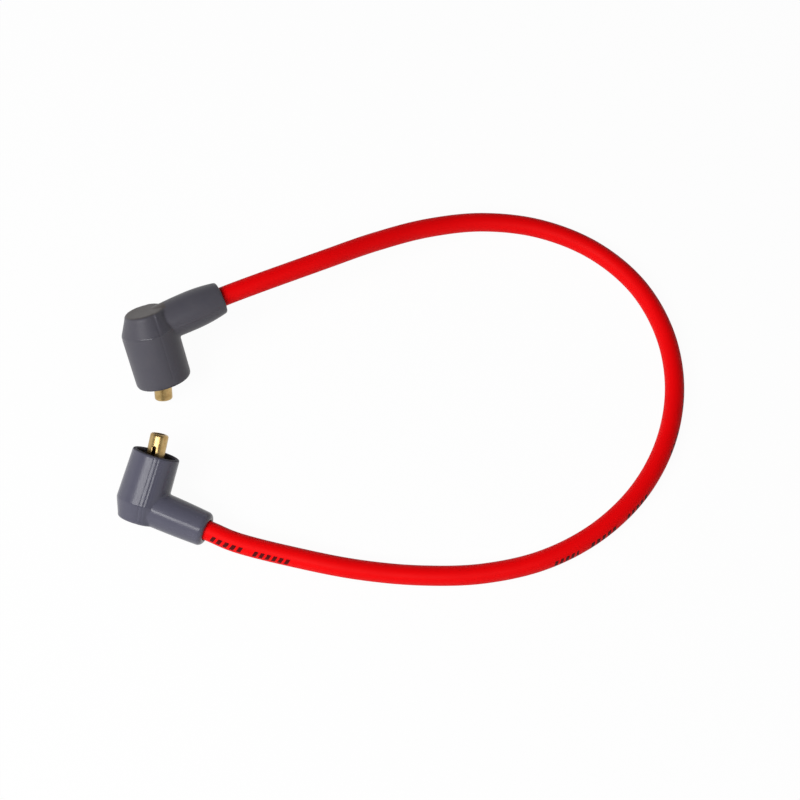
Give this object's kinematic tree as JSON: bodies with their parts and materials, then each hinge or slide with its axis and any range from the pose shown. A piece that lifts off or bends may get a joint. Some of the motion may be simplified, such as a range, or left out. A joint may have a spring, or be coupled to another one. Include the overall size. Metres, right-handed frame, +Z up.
{
  "type": "ignition coil wire",
  "caption": "Silicone high-tension ignition lead lying in an open loop, with a right-angle rubber boot and a slotted brass terminal on each end.",
  "frame": {"origin": "on the resting surface, under the middle of the box around the two boots and their terminals", "axes": "+Z up from the resting surface; +Y from the distributor boot towards the coil boot; the loop of the lead lies towards +X"},
  "size_m": [0.2449, 0.177, 0.038],
  "materials": {
    "boot_rubber": "moulded dark grey rubber, satin, with a soft bluish tint",
    "jacket_silicone": "extruded bright red silicone, satin",
    "insulation_rubber": "black insulating rubber, dull",
    "core_winding": "fine resistance wire wound on a ferrite-filled rubber core",
    "terminal_brass": "stamped and rolled brass, bright"
  },
  "bodies": {
    "root": {"coil_boot": "boot_rubber", "coil_terminal": "terminal_brass", "distributor_boot": "boot_rubber", "distributor_terminal": "terminal_brass", "wire_jacket": "jacket_silicone", "wire_insulation": "insulation_rubber", "conductor_core": "core_winding"}
  },
  "joints": []
}
